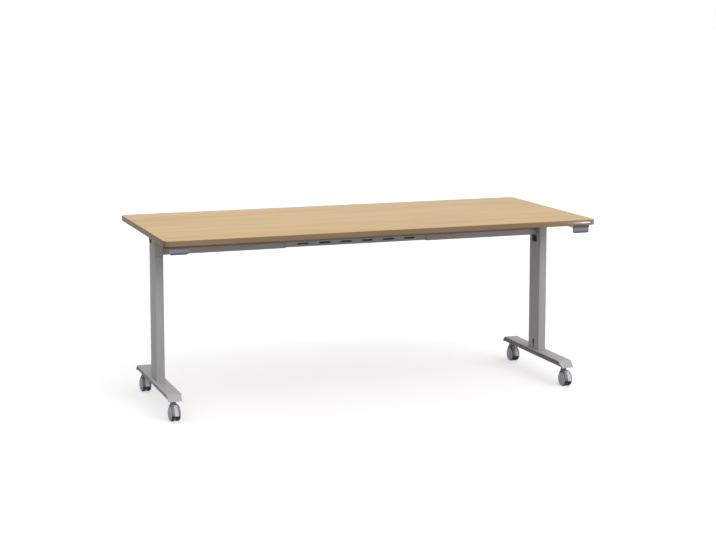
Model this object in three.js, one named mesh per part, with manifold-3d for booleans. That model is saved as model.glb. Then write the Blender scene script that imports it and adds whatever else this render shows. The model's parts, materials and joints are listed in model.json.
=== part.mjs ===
// Flip top training table: a wood board that tips upright on two T legs with braked twin-wheel casters.
// Millimetres. X runs along the length, Y from the user's edge to the back, Z up.
// The origin is on the floor under the middle of the board.

import * as THREE from 'three';
import { mergeVertices } from 'three/addons/utils/BufferGeometryUtils.js';
import Module from 'manifold-3d';

const wasm = await Module();
wasm.setup();

// Board and its edge band
const TOP_LENGTH = 1800;
const TOP_DEPTH = 800;
const TOP_HEIGHT = 720;
const TOP_THICKNESS = 22;
const TOP_CORNER = 28;
const EDGE_THICKNESS = 2;
const EDGE_ROUND = 1.2;
const GLUE_LINE = 0.1;

// Clearances
const SEAT = 0.3;
const RUNNING = 0.4;
const BORE_PLAY = 0.3;

// T legs: column, head and cable cover
const LEG_INSET = 60.5;
const LEG_WIDTH = 35;
const LEG_DEPTH = 97;
const LEG_CORNER = 4;
const LEG_WALL = 2.5;
const LEG_LIP = 10.5;
const BASE_OFFSET = 8;
const COVER_THICKNESS = 2.2;
const COVER_RIB = 1.8;
const COVER_RIB_DEPTH = 6;
const COVER_BARB = 1.6;
const CABLE_HOLE_WIDTH = 46;
const CABLE_HOLE_HEIGHT = 29;
const CABLE_HOLE_DROP = 3;
const CABLE_HOLE_CORNER = 6;
const TIE_SLOT_WIDTH = 14;
const TIE_SLOT_HEIGHT = 27;
const TIE_SLOT_RISE = 30;
const COVER_SCREW_RADIUS = 5;
const COVER_SCREW_RISE = 12;
const HEAD_PRONG = 45;
const HEAD_PRONG_WIDTH = 18;
const HEAD_PRONG_DEPTH = 21;

// Feet
const FOOT_TOP = 105.5;
const FOOT_LENGTH = 588;
const FOOT_WIDTH = 59;
const FOOT_HEIGHT = 25;
const FOOT_PLATE = 4;
const FOOT_ARRIS = 1.5;
const FOOT_NOSE_RUN = 33;
const FOOT_NOSE_WIDTH = 52;
const SKIRT_TOP_WIDTH = 52;
const SKIRT_FOOT_WIDTH = 42;
const SKIRT_WALL = 2.5;
const COLUMN_BOLT_RADIUS = 4.5;
const COLUMN_BOLT_BOSS = 9;
const COLUMN_BOLT_SPREAD = 58;
const COLUMN_BOLT_RECESS = 10;

// Hinge between the leg heads and the board
const PIVOT_DROP = 33;
const PIVOT_BACK = 24;
const PIVOT_RADIUS = 5;
const PIVOT_HEAD_RADIUS = 8;
const PIVOT_HEAD_LENGTH = 1.5;
const HEAD_ROUND = 24;
const BRACKET_PLATE = 4;
const BRACKET_WIDTH = 76;
const BRACKET_FRONT = 150;
const BRACKET_REAR = 90;
const BRACKET_CORNER = 10;
const EAR_THICKNESS = 4;
const EAR_ROUND = 12;
const EAR_TANGENT = THREE.MathUtils.degToRad(225);
const EAR_FRONT = 48;
const EAR_REAR = 18;
const PAD_THICKNESS = 4;
const PAD_WIDTH = 24;
const PAD_LENGTH = 30;
const PAD_SETBACK = 18;

// Latch: bolt, keeper notch and guide on the bracket
const BOLT_WIDTH = 14;
const BOLT_HEIGHT = 9;
const BOLT_LENGTH = 26;
const BOLT_NOSE = 3;
const BOLT_ENGAGE = 4;
const KEEPER_DEPTH = 12;
const KEEPER_PLAY = 1;
const GUIDE_THICKNESS = 4;
const GUIDE_WIDTH = 28;
const GUIDE_SKIRT = 5;
const ROD_RADIUS = 3;
const COLLAR_RADIUS = 4;
const COLLAR_THICKNESS = 3;

// Release levers and their housings
const LEVER_WIDTH = 72;
const LEVER_REACH = 33;
const LEVER_SETBACK = 20;
const LEVER_PLATE = 3.5;
const LEVER_LIP = 5;
const LEVER_RIGHT_ROUND = 11;
const LEVER_LEFT_ROUND = 4;
const LEVER_TRAVEL = THREE.MathUtils.degToRad(20);
const LEVER_PIN_DROP = 10;
const LEVER_PIN_RADIUS = 2.5;
const LEVER_BARREL = 4.5;
const LEVER_BARREL_WIDTH = 50;
const LEVER_STANDOFF = 8;
const LEVER_CREST = 1.5;
const LEVER_FORK_WIDTH = 16;
const LEVER_FORK_PLATE = 4;
const ROD_DROP = 9.5;
const HOUSING_PLATE = 2.7;
const HOUSING_CHEEK = 3;
const HOUSING_FRONT = 15;
const HOUSING_REAR = 24;
const HOUSING_CHEEK_REACH = 6;
const HOUSING_CHEEK_GAP = 2;
const HOUSING_FASCIA = 2.6;
const HOUSING_FASCIA_DROP = 9;

// Telescopic cross beam
const BEAM_SIZE = 40;
const BEAM_WALL = 2;
const BEAM_TOP_DROP = 50;
const BEAM_JOINT = 312;
const BEAM_OVERLAP = 60;
const BEAM_STUB = 40;
const BEAM_SLOTS = 6;
const BEAM_SLOT_PITCH = 93;
const BEAM_SLOT_LENGTH = 48;
const BEAM_SLOT_HEIGHT = 7;
const BEAM_SLOT_RISE = 12;

// Casters
const CASTER_INSET = 40;
const CASTER_TRAIL = 16;
const WHEEL_RADIUS = 30;
const WHEEL_FLANGE_RADIUS = 28.5;
const WHEEL_GAP = 5.6;
const WHEEL_LIP = 0.8;
const WHEEL_DOME = 7.6;
const TREAD_SEAT_RADIUS = 25.5;
const TREAD_INSET = 0.6;
const TREAD_WIDTH = 12;
const TREAD_ROUND = 2.5;
const AXLE_RADIUS = 3;
const AXLE_DEPTH = 12;
const STEM_RADIUS = 5.5;
const STEM_FLANGE_RADIUS = 12;
const STEM_FLANGE = 3.7;
const STEM_UPPER = 18;
const STEM_LOWER = 13;
const BOSS_WALL = 5;
const NECK_RADIUS = 10.5;
const NECK_COLLAR = 6;
const NECK_WAIST = 12.5;
const NECK_WAIST_DROP = 12;
const NECK_FLARE = 16;
const NECK_DROP = 30;
const NECK_OVAL = 1.25;
const HOOD_GAP = 1.5;
const HOOD_SHELL = 3.5;
const HOOD_WIDTH = 31;
const HOOD_CROWN = 21;
const HOOD_WEB = 4.6;
const HOOD_WEB_RADIUS = 23;
const HOOD_FRONT_ANGLE = THREE.MathUtils.degToRad(-5);
const HOOD_BACK_ANGLE = THREE.MathUtils.degToRad(150);
const PEDAL_WIDTH = 15;
const PEDAL_PLATE = 3;
const PEDAL_GAP = 0.6;
const PEDAL_TOE = 8;
const PEDAL_TOE_SINK = 1;
const PEDAL_START_ANGLE = THREE.MathUtils.degToRad(-1);
const PEDAL_HINGE_ANGLE = THREE.MathUtils.degToRad(66);
const PEDAL_TRUNNION_RADIUS = 1.6;
const PEDAL_LUG = 3;

// Facets on round pieces
const WHEEL_SIDES = 16;
const PIN_SIDES = 16;
const SMALL_PIN_SIDES = 10;
const ARC_STEPS = 2;
const CORNER_STEPS = 3;
const FENDER_STEPS = 4;
const SLOT_STEPS = 1;
const DOME_STEPS = 3;
const ARRIS_STEPS = 2;
const WELD_DISTANCE = 1e-4;

// Levels and places worked out from the sizes above
const UNDERSIDE = TOP_HEIGHT - TOP_THICKNESS;
const LEG_X = TOP_LENGTH / 2 - LEG_INSET;
const LEG_FRONT = BASE_OFFSET - LEG_DEPTH / 2;
const LEG_BACK = BASE_OFFSET + LEG_DEPTH / 2;
const PIVOT_Y = BASE_OFFSET + PIVOT_BACK;
const PIVOT_Z = UNDERSIDE - PIVOT_DROP;
const PLATE_TOP = UNDERSIDE - SEAT;
const PLATE_BOTTOM = UNDERSIDE - BRACKET_PLATE;
const PAD_TOP = PLATE_BOTTOM - SEAT;
const PAD_BOTTOM = PAD_TOP - PAD_THICKNESS;
const HEAD_TOP = PAD_BOTTOM - SEAT;
const BEAM_TOP = UNDERSIDE - BEAM_TOP_DROP;
const BEAM_BOTTOM = BEAM_TOP - BEAM_SIZE;
const HEAD_BOTTOM = BEAM_BOTTOM - SEAT;
const COLUMN_TOP = HEAD_BOTTOM - SEAT;
const COLUMN_BOTTOM = FOOT_TOP + SEAT;
const LEVER_PIN_Z = UNDERSIDE - LEVER_PIN_DROP;
const LEVER_PIN_Y = -TOP_DEPTH / 2 + LEVER_SETBACK + LEVER_STANDOFF + LEVER_PLATE;
const ROD_Z = LEVER_PIN_Z - ROD_DROP;
const LATCH_TRAVEL = (ROD_DROP + COLLAR_RADIUS) * Math.tan(LEVER_TRAVEL);
const BOLT_REAR = LEG_FRONT + BOLT_ENGAGE;
const BOLT_FRONT = BOLT_REAR - BOLT_LENGTH;
const GUIDE_REAR = BOLT_FRONT - LATCH_TRAVEL - 2 * SEAT;
const COLLAR_REAR = LEVER_PIN_Y - SEAT;
const FOOT_BOTTOM = FOOT_TOP - FOOT_HEIGHT;
const FOOT_UNDER = FOOT_TOP - FOOT_PLATE;
const CASTER_REACH = FOOT_LENGTH / 2 - CASTER_INSET;
const STEM_FLANGE_TOP = FOOT_BOTTOM - SEAT;
const NECK_TOP = STEM_FLANGE_TOP - STEM_FLANGE - SEAT;
const TYRE_CORNER_RADIUS = WHEEL_RADIUS / Math.cos(Math.PI / WHEEL_SIDES);
const HOOD_INNER = TYRE_CORNER_RADIUS + HOOD_GAP;
const HOOD_OUTER = HOOD_INNER + HOOD_SHELL;
const RIM_START = TREAD_INSET + TREAD_WIDTH + SEAT;

// Turns a closed geometry into a solid that can be joined and cut.
function solid(geometry) {
  const bare = geometry.index ? geometry.clone() : geometry;
  bare.deleteAttribute('normal');
  bare.deleteAttribute('uv');
  const merged = mergeVertices(bare, WELD_DISTANCE);
  return new wasm.Manifold(new wasm.Mesh({
    numProp: 3,
    vertProperties: new Float32Array(merged.attributes.position.array),
    triVerts: new Uint32Array(merged.index.array),
  }));
}

function geometryOf(body) {
  const mesh = body.getMesh();
  const geometry = new THREE.BufferGeometry();
  geometry.setAttribute('position', new THREE.BufferAttribute(new Float32Array(mesh.vertProperties), 3));
  geometry.setIndex(new THREE.BufferAttribute(new Uint32Array(mesh.triVerts), 1));
  geometry.computeVertexNormals();
  return geometry;
}

// A block between two values on each axis, given in either order.
function block(x, y, z) {
  const sizes = [x, y, z].map(([from, to]) => Math.abs(to - from));
  const geometry = new THREE.BoxGeometry(...sizes);
  geometry.translate((x[0] + x[1]) / 2, (y[0] + y[1]) / 2, (z[0] + z[1]) / 2);
  return solid(geometry);
}

// A prism of a closed outline. Along x the outline is (y, z), along y it is (x, z), along z it is (x, y).
const PRISM_FRAMES = {
  x: [new THREE.Vector3(0, 1, 0), new THREE.Vector3(0, 0, 1), new THREE.Vector3(1, 0, 0)],
  y: [new THREE.Vector3(1, 0, 0), new THREE.Vector3(0, 0, 1), new THREE.Vector3(0, -1, 0)],
  z: [new THREE.Vector3(1, 0, 0), new THREE.Vector3(0, 1, 0), new THREE.Vector3(0, 0, 1)],
};

function prism(axis, outline, from, to, steps = ARC_STEPS) {
  const low = Math.min(from, to);
  const high = Math.max(from, to);
  const geometry = new THREE.ExtrudeGeometry(outline, {
    depth: high - low, bevelEnabled: false, curveSegments: steps,
  });
  geometry.applyMatrix4(new THREE.Matrix4().makeBasis(...PRISM_FRAMES[axis]));
  const shift = { x: [low, 0, 0], y: [0, high, 0], z: [0, 0, low] }[axis];
  geometry.translate(...shift);
  return solid(geometry);
}

// A round bar along one axis; centre holds the two other coordinates in x, y, z order.
function bar(axis, radius, from, to, centre, sides = PIN_SIDES) {
  const length = Math.abs(to - from);
  const middle = (from + to) / 2;
  const geometry = new THREE.CylinderGeometry(radius, radius, length, sides);
  if (axis === 'x') {
    geometry.rotateZ(Math.PI / 2);
    geometry.translate(middle, centre[0], centre[1]);
  } else if (axis === 'y') {
    geometry.translate(centre[0], middle, centre[1]);
  } else {
    geometry.rotateX(Math.PI / 2);
    geometry.translate(centre[0], centre[1], middle);
  }
  return solid(geometry);
}

function polygon(points) {
  return new THREE.Shape(points.map(([a, b]) => new THREE.Vector2(a, b)));
}

// Half an outline with its mirror image, as one closed list of points.
function mirrored(points) {
  return [...points, ...points.map(([a, b]) => [-a, b]).reverse()];
}

// A rectangle with round corners, centred on (a, b).
function roundedRectangle(a, b, width, height, radius) {
  const left = a - width / 2;
  const right = a + width / 2;
  const low = b - height / 2;
  const high = b + height / 2;
  const shape = new THREE.Shape();
  shape.absarc(right - radius, low + radius, radius, -Math.PI / 2, 0, false);
  shape.absarc(right - radius, high - radius, radius, 0, Math.PI / 2, false);
  shape.absarc(left + radius, high - radius, radius, Math.PI / 2, Math.PI, false);
  shape.absarc(left + radius, low + radius, radius, Math.PI, 1.5 * Math.PI, false);
  shape.closePath();
  return shape;
}

// A flat ring sector about (a, b), used for fenders and pedals.
function ringSector(a, b, inner, outer, start, end) {
  const shape = new THREE.Shape();
  shape.absarc(a, b, outer, start, end, false);
  shape.absarc(a, b, inner, end, start, true);
  shape.closePath();
  return shape;
}

const table = new THREE.Group();

function addPiece(parent, name, body, finish) {
  const mesh = new THREE.Mesh(geometryOf(body), new THREE.MeshStandardMaterial(finish));
  mesh.name = name;
  parent.add(mesh);
}

const OAK = { color: 0xd8bc94, roughness: 0.55, metalness: 0 };
const EDGE = { color: 0xc9a97f, roughness: 0.5, metalness: 0 };
const SILVER = { color: 0xa5a4a5, roughness: 0.45, metalness: 0.3 };
const CAST = { color: 0x9a999a, roughness: 0.5, metalness: 0.3 };
const STEEL = { color: 0xb4b4b8, roughness: 0.3, metalness: 0.9 };
const GREY_PLASTIC = { color: 0x83818d, roughness: 0.5, metalness: 0 };
const DARK_PLASTIC = { color: 0x6c6b73, roughness: 0.5, metalness: 0 };
const PEDAL_PLASTIC = { color: 0xc8c6ce, roughness: 0.4, metalness: 0 };
const RUBBER = { color: 0x232327, roughness: 0.8, metalness: 0 };

// Board: a rounded rectangle inside its edge band.
function tableTop() {
  const skin = EDGE_THICKNESS + GLUE_LINE;
  const outline = roundedRectangle(0, 0, TOP_LENGTH - 2 * skin, TOP_DEPTH - 2 * skin, TOP_CORNER - skin);
  return prism('z', outline, UNDERSIDE, TOP_HEIGHT, CORNER_STEPS);
}

// Edge band: a ring with its two outer arrises rounded off.
function edgeBand() {
  const outline = roundedRectangle(0, 0, TOP_LENGTH, TOP_DEPTH, TOP_CORNER);
  const skin = EDGE_THICKNESS;
  outline.holes.push(roundedRectangle(0, 0, TOP_LENGTH - 2 * skin, TOP_DEPTH - 2 * skin, TOP_CORNER - skin));
  const ring = new THREE.ExtrudeGeometry(outline, {
    depth: TOP_THICKNESS, bevelEnabled: false, curveSegments: CORNER_STEPS,
  });
  ring.translate(0, 0, UNDERSIDE);
  const inner = roundedRectangle(
    0, 0, TOP_LENGTH - 2 * EDGE_ROUND, TOP_DEPTH - 2 * EDGE_ROUND, TOP_CORNER - EDGE_ROUND);
  const rounded = new THREE.ExtrudeGeometry(inner, {
    depth: TOP_THICKNESS - 2 * EDGE_ROUND,
    bevelThickness: EDGE_ROUND,
    bevelSize: EDGE_ROUND,
    bevelSegments: ARRIS_STEPS,
    curveSegments: CORNER_STEPS,
  });
  rounded.translate(0, 0, UNDERSIDE + EDGE_ROUND);
  return solid(ring).intersect(solid(rounded));
}

// Everything below is placed by its side: -1 is the left leg, 1 the right one.
// A distance u from the leg's middle counts towards the table's middle.
function legX(side, u) {
  return side * (LEG_X - u);
}

function legSpan(side, from, to) {
  return [legX(side, from), legX(side, to)];
}

// Column: an open channel whose two lips hold the cable cover.
function legColumn(side) {
  const x = legX(side, 0);
  const outline = roundedRectangle(x, BASE_OFFSET, LEG_WIDTH, LEG_DEPTH, LEG_CORNER);
  const tube = prism('z', outline, COLUMN_BOTTOM, COLUMN_TOP);
  const half = LEG_WIDTH / 2 - LEG_WALL;
  const halfDepth = LEG_DEPTH / 2 - LEG_WALL;
  const mouth = LEG_DEPTH / 2 - LEG_LIP;
  const heights = [COLUMN_BOTTOM - LEG_WALL, COLUMN_TOP + LEG_WALL];
  const duct = block(legSpan(side, -half, half), [BASE_OFFSET - halfDepth, BASE_OFFSET + halfDepth], heights);
  const slot = block(legSpan(side, 0, LEG_WIDTH), [BASE_OFFSET - mouth, BASE_OFFSET + mouth], heights);
  return tube.subtract(duct).subtract(slot);
}

// Cable cover: a strip between the lips with two barbed ribs that snap behind them.
function cableCover(side) {
  const face = LEG_WIDTH / 2 - SEAT;
  const half = LEG_DEPTH / 2 - LEG_LIP - SEAT;
  const ribFoot = face - COVER_THICKNESS - COVER_RIB_DEPTH;
  const lipInside = LEG_WIDTH / 2 - LEG_WALL - SEAT;
  const barb = half + SEAT + COVER_BARB;
  const section = [
    [face, -half], [face, half],
    [lipInside, half], [lipInside, barb], [ribFoot, half], [ribFoot, half - COVER_RIB],
    [face - COVER_THICKNESS, half - COVER_RIB], [face - COVER_THICKNESS, COVER_RIB - half],
    [ribFoot, COVER_RIB - half], [ribFoot, -half], [lipInside, -barb], [lipInside, -half],
  ];
  const outline = polygon(section.map(([u, v]) => [legX(side, u), BASE_OFFSET + v]));
  const strip = prism('z', outline, COLUMN_BOTTOM, COLUMN_TOP);
  const through = legSpan(side, ribFoot - SEAT, LEG_WIDTH);
  const holeMiddle = COLUMN_TOP - CABLE_HOLE_DROP - CABLE_HOLE_HEIGHT / 2;
  const cableHole = prism('x', roundedRectangle(
    BASE_OFFSET, holeMiddle, CABLE_HOLE_WIDTH, CABLE_HOLE_HEIGHT, CABLE_HOLE_CORNER), ...through);
  const slotMiddle = COLUMN_BOTTOM + TIE_SLOT_RISE;
  const tieSlot = prism('x', roundedRectangle(
    BASE_OFFSET, slotMiddle, TIE_SLOT_WIDTH, TIE_SLOT_HEIGHT, TIE_SLOT_WIDTH / 2 - SEAT), ...through);
  const screwHole = bar('x', COVER_SCREW_RADIUS, ...through, [BASE_OFFSET, COLUMN_BOTTOM + COVER_SCREW_RISE]);
  return strip.subtract(cableHole).subtract(tieSlot).subtract(screwHole);
}

// Head: a casting on top of the column with the hinge barrel, the latch keeper and the beam stub.
function legHead(side) {
  const half = LEG_WIDTH / 2;
  const outline = new THREE.Shape();
  outline.moveTo(LEG_FRONT, HEAD_BOTTOM);
  outline.lineTo(LEG_BACK, HEAD_BOTTOM);
  outline.lineTo(LEG_BACK, PIVOT_Z - HEAD_ROUND);
  outline.absarc(PIVOT_Y, PIVOT_Z, HEAD_ROUND, 0, Math.PI / 2, false);
  outline.lineTo(PIVOT_Y - HEAD_ROUND, HEAD_TOP);
  outline.lineTo(LEG_FRONT, HEAD_TOP);
  outline.closePath();
  const casting = prism('x', outline, ...legSpan(side, -half, half));
  const corners = prism('z', roundedRectangle(
    legX(side, 0), BASE_OFFSET, LEG_WIDTH, LEG_DEPTH, LEG_CORNER), HEAD_BOTTOM, TOP_HEIGHT);
  const prongOuter = LEG_DEPTH / 2 - LEG_WALL - SEAT;
  const prongBack = LEG_WALL - half + SEAT;
  const prongs = [-1, 1].map((end) => block(
    legSpan(side, prongBack, prongBack + HEAD_PRONG_DEPTH),
    [BASE_OFFSET + end * prongOuter, BASE_OFFSET + end * (prongOuter - HEAD_PRONG_WIDTH)],
    [HEAD_BOTTOM - HEAD_PRONG, HEAD_BOTTOM + LEG_WALL]));
  const stubSize = BEAM_SIZE - 2 * BEAM_WALL - 2 * SEAT;
  const stub = block(
    legSpan(side, 0, half + BEAM_STUB),
    [BASE_OFFSET - stubSize / 2, BASE_OFFSET + stubSize / 2],
    [BEAM_BOTTOM + BEAM_WALL + SEAT, BEAM_TOP - BEAM_WALL - SEAT]);
  const keeperHalf = BOLT_WIDTH / 2 + KEEPER_PLAY;
  const keeper = block(
    legSpan(side, -keeperHalf, keeperHalf),
    [LEG_FRONT - KEEPER_DEPTH, LEG_FRONT + KEEPER_DEPTH],
    [ROD_Z - BOLT_HEIGHT / 2 - KEEPER_PLAY, TOP_HEIGHT]);
  const across = legSpan(side, -LEG_WIDTH, LEG_WIDTH);
  const bore = bar('x', PIVOT_RADIUS + BORE_PLAY, ...across, [PIVOT_Y, PIVOT_Z]);
  return casting.intersect(corners).add(prongs[0]).add(prongs[1]).add(stub).subtract(keeper).subtract(bore);
}

// Pivot pin: a headed pin through both ears and the head.
function pivotPin(side) {
  const reach = LEG_WIDTH / 2 + RUNNING + EAR_THICKNESS + RUNNING;
  const centre = [PIVOT_Y, PIVOT_Z];
  const end = reach + PIVOT_HEAD_LENGTH;
  const shank = bar('x', PIVOT_RADIUS, ...legSpan(side, -end, end), centre);
  const outerHead = bar('x', PIVOT_HEAD_RADIUS, ...legSpan(side, -end, -reach), centre);
  const innerHead = bar('x', PIVOT_HEAD_RADIUS, ...legSpan(side, reach, end), centre);
  return shank.add(outerHead).add(innerHead);
}

// Rubber pad on the head that the closed top rests on.
function stopPad(side) {
  const front = LEG_FRONT + PAD_SETBACK;
  const outline = roundedRectangle(
    legX(side, 0), front + PAD_LENGTH / 2, PAD_WIDTH, PAD_LENGTH, LEG_CORNER);
  return prism('z', outline, PAD_BOTTOM, PAD_TOP);
}

// Hinge bracket: a plate under the board with two ears beside the head and a guide for the latch bolt.
function hingeBracket(side) {
  const x = legX(side, 0);
  const front = PIVOT_Y - BRACKET_FRONT;
  const back = PIVOT_Y + BRACKET_REAR;
  const plate = prism('z', roundedRectangle(
    x, (front + back) / 2, BRACKET_WIDTH, back - front, BRACKET_CORNER), PLATE_BOTTOM, PLATE_TOP);
  const ear = new THREE.Shape();
  const earTop = PLATE_BOTTOM + BRACKET_PLATE / 2;
  ear.moveTo(PIVOT_Y - EAR_FRONT, earTop);
  ear.lineTo(PIVOT_Y - EAR_FRONT, PLATE_BOTTOM - EAR_THICKNESS);
  ear.absarc(PIVOT_Y, PIVOT_Z, EAR_ROUND, EAR_TANGENT, 2 * Math.PI, false);
  ear.lineTo(PIVOT_Y + EAR_REAR, PLATE_BOTTOM - EAR_THICKNESS);
  ear.lineTo(PIVOT_Y + EAR_REAR, earTop);
  ear.closePath();
  const inside = LEG_WIDTH / 2 + RUNNING;
  const innerEar = prism('x', ear, ...legSpan(side, inside, inside + EAR_THICKNESS));
  const outerEar = prism('x', ear, ...legSpan(side, -inside, -inside - EAR_THICKNESS));
  const guide = block(
    legSpan(side, -GUIDE_WIDTH / 2, GUIDE_WIDTH / 2),
    [GUIDE_REAR - GUIDE_THICKNESS, GUIDE_REAR],
    [ROD_Z - ROD_RADIUS - GUIDE_SKIRT, earTop]);
  const rodHole = bar('y', ROD_RADIUS + BORE_PLAY,
    GUIDE_REAR - 2 * GUIDE_THICKNESS, GUIDE_REAR + GUIDE_THICKNESS, [x, ROD_Z]);
  const across = legSpan(side, -LEG_WIDTH, LEG_WIDTH);
  const pinHole = bar('x', PIVOT_RADIUS + BORE_PLAY, ...across, [PIVOT_Y, PIVOT_Z]);
  return plate.add(innerEar).add(outerEar).add(guide).subtract(rodHole).subtract(pinHole);
}

// Release rod: collar at the lever, round rod, flat latch bolt at the head.
function releaseRod(side) {
  const x = legX(side, 0);
  const collar = bar('y', COLLAR_RADIUS, COLLAR_REAR - COLLAR_THICKNESS, COLLAR_REAR, [x, ROD_Z]);
  const rod = bar('y', ROD_RADIUS, COLLAR_REAR - COLLAR_THICKNESS / 2, BOLT_FRONT + ROD_RADIUS, [x, ROD_Z]);
  const low = ROD_Z - BOLT_HEIGHT / 2;
  const high = ROD_Z + BOLT_HEIGHT / 2;
  const bolt = prism('x', polygon([
    [BOLT_FRONT, low], [BOLT_REAR, low], [BOLT_REAR, high - BOLT_NOSE],
    [BOLT_REAR - BOLT_NOSE, high], [BOLT_FRONT, high],
  ]), x - BOLT_WIDTH / 2, x + BOLT_WIDTH / 2);
  return rod.add(collar).add(bolt);
}

// Lever housing: a small plate under the front edge with two cheeks behind the paddle, a fascia over the
// paddle's top and a rear wall that guides the rod.
function leverHousing(side) {
  const x = legX(side, 0);
  const half = LEVER_BARREL_WIDTH / 2 + RUNNING;
  const depth = LEVER_STANDOFF - HOUSING_CHEEK_GAP;
  const across = [x - half - HOUSING_CHEEK, x + half + HOUSING_CHEEK];
  const front = LEVER_PIN_Y - HOUSING_FRONT;
  const rear = LEVER_PIN_Y + HOUSING_REAR;
  const plate = block(across, [front, rear], [PLATE_TOP - HOUSING_PLATE, PLATE_TOP]);
  const fascia = block([x - LEVER_WIDTH / 2, x + LEVER_WIDTH / 2],
    [front, front + HOUSING_FASCIA], [UNDERSIDE - HOUSING_FASCIA_DROP, PLATE_TOP]);
  const cheek = polygon(mirrored([
    [LEVER_BARREL, LEVER_PIN_Z - HOUSING_CHEEK_REACH], [depth, LEVER_PIN_Z], [depth, PLATE_TOP],
  ]).map(([v, z]) => [LEVER_PIN_Y + v, z]));
  const leftCheek = prism('x', cheek, across[0], x - half);
  const rightCheek = prism('x', cheek, x + half, across[1]);
  const wall = block([x - GUIDE_WIDTH / 2, x + GUIDE_WIDTH / 2],
    [rear - HOUSING_CHEEK, rear], [ROD_Z - ROD_RADIUS - GUIDE_SKIRT, PLATE_TOP]);
  const rodHole = bar('y', ROD_RADIUS + BORE_PLAY,
    rear - 2 * HOUSING_CHEEK, rear + HOUSING_CHEEK, [x, ROD_Z]);
  const pinHole = bar('x', LEVER_PIN_RADIUS + BORE_PLAY,
    x - LEVER_WIDTH, x + LEVER_WIDTH, [LEVER_PIN_Y, LEVER_PIN_Z]);
  return plate.add(fascia).add(leftCheek).add(rightCheek).add(wall).subtract(rodHole).subtract(pinHole);
}

function leverPin(side) {
  const x = legX(side, 0);
  const reach = LEVER_BARREL_WIDTH / 2 + RUNNING + HOUSING_CHEEK;
  return bar('x', LEVER_PIN_RADIUS, x - reach, x + reach, [LEVER_PIN_Y, LEVER_PIN_Z]);
}

// Front view of a paddle. Both sides take the same moulding: its right lower corner has the larger round.
function paddleFront(x, low, high) {
  const left = x - LEVER_WIDTH / 2;
  const right = x + LEVER_WIDTH / 2;
  const shape = new THREE.Shape();
  shape.moveTo(right, high);
  shape.lineTo(right, low + LEVER_RIGHT_ROUND);
  shape.quadraticCurveTo(right, low, right - LEVER_RIGHT_ROUND, low);
  shape.lineTo(left + LEVER_LEFT_ROUND, low);
  shape.quadraticCurveTo(left, low, left, low + LEVER_LEFT_ROUND);
  shape.lineTo(left, high);
  shape.closePath();
  return shape;
}

// Side view of a paddle: it leaves the barrel, turns down and ends in a curled lip.
function paddleSection(low) {
  const back = LEVER_PIN_Y - LEVER_STANDOFF;
  const front = back - LEVER_PLATE;
  const crest = LEVER_PIN_Z + LEVER_CREST;
  const shape = new THREE.Shape();
  shape.moveTo(LEVER_PIN_Y, crest);
  shape.lineTo(back, crest);
  shape.quadraticCurveTo(front, crest, front, crest - LEVER_PLATE);
  shape.lineTo(front, low + 2 * LEVER_LIP);
  shape.quadraticCurveTo(front, low + LEVER_PLATE, front - LEVER_LIP, low + LEVER_PLATE);
  shape.lineTo(front - LEVER_LIP, low);
  shape.quadraticCurveTo(back, low, back, low + 2 * LEVER_LIP);
  shape.lineTo(back, crest - LEVER_PLATE);
  shape.lineTo(LEVER_PIN_Y, crest - LEVER_PLATE);
  shape.closePath();
  return shape;
}

// Release lever: the paddle hung from a shorter barrel, and a fork behind it that draws the rod.
function releaseLever(side) {
  const x = legX(side, 0);
  const low = UNDERSIDE - LEVER_REACH;
  const ends = [x - LEVER_WIDTH / 2, x + LEVER_WIDTH / 2];
  const span = [x - LEVER_BARREL_WIDTH / 2, x + LEVER_BARREL_WIDTH / 2];
  const back = LEVER_PIN_Y - LEVER_STANDOFF;
  const trim = prism('y', paddleFront(x, low, TOP_HEIGHT),
    LEVER_PIN_Y - LEVER_WIDTH, LEVER_PIN_Y + LEVER_WIDTH);
  const plate = block(ends, [back, back - LEVER_WIDTH], [0, TOP_HEIGHT]);
  const web = block(span, [back, LEVER_PIN_Y], [0, TOP_HEIGHT]);
  const barrel = bar('x', LEVER_BARREL, ...span, [LEVER_PIN_Y, LEVER_PIN_Z]);
  const forkFoot = ROD_Z - COLLAR_RADIUS - SEAT;
  const fork = block([x - LEVER_FORK_WIDTH / 2, x + LEVER_FORK_WIDTH / 2],
    [LEVER_PIN_Y, LEVER_PIN_Y + LEVER_FORK_PLATE], [forkFoot, LEVER_PIN_Z]);
  const gap = ROD_RADIUS + BORE_PLAY;
  const tilt = LEVER_FORK_PLATE * Math.sin(LEVER_TRAVEL) + ROD_DROP * (1 - Math.cos(LEVER_TRAVEL));
  const slotTop = ROD_Z + gap + tilt;
  const slot = block([x - gap, x + gap],
    [LEVER_PIN_Y - LEVER_FORK_PLATE, LEVER_PIN_Y + 2 * LEVER_FORK_PLATE], [forkFoot - gap, slotTop]);
  const bore = bar('x', LEVER_PIN_RADIUS + BORE_PLAY,
    x - LEVER_WIDTH, x + LEVER_WIDTH, [LEVER_PIN_Y, LEVER_PIN_Z]);
  const hanger = prism('x', paddleSection(low), ...ends).intersect(plate.add(web));
  const paddle = hanger.add(barrel).intersect(trim);
  return paddle.add(fork.subtract(slot)).subtract(bore);
}

// Foot: a plate bent down at both ends, over a trough whose skirts lean inwards.
const FOOT_HALF = FOOT_LENGTH / 2;
const FOOT_FOLD = FOOT_HALF - FOOT_NOSE_RUN;
const NOSE_SLOPE = Math.atan2(FOOT_HEIGHT, FOOT_NOSE_RUN);

// Where a face at some depth inside the bent plate folds, and where it ends at the nose's tip.
function foldAt(depth) {
  return FOOT_FOLD - depth * Math.tan(NOSE_SLOPE / 2);
}

function tipAt(depth) {
  return FOOT_HALF - depth / Math.sin(NOSE_SLOPE);
}

// A prism across the foot of half a side view, and one along it of half a cross section.
function acrossFoot(side, points) {
  const outline = polygon(mirrored(points).map(([v, z]) => [BASE_OFFSET + v, z]));
  return prism('x', outline, ...legSpan(side, -FOOT_WIDTH, FOOT_WIDTH));
}

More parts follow.
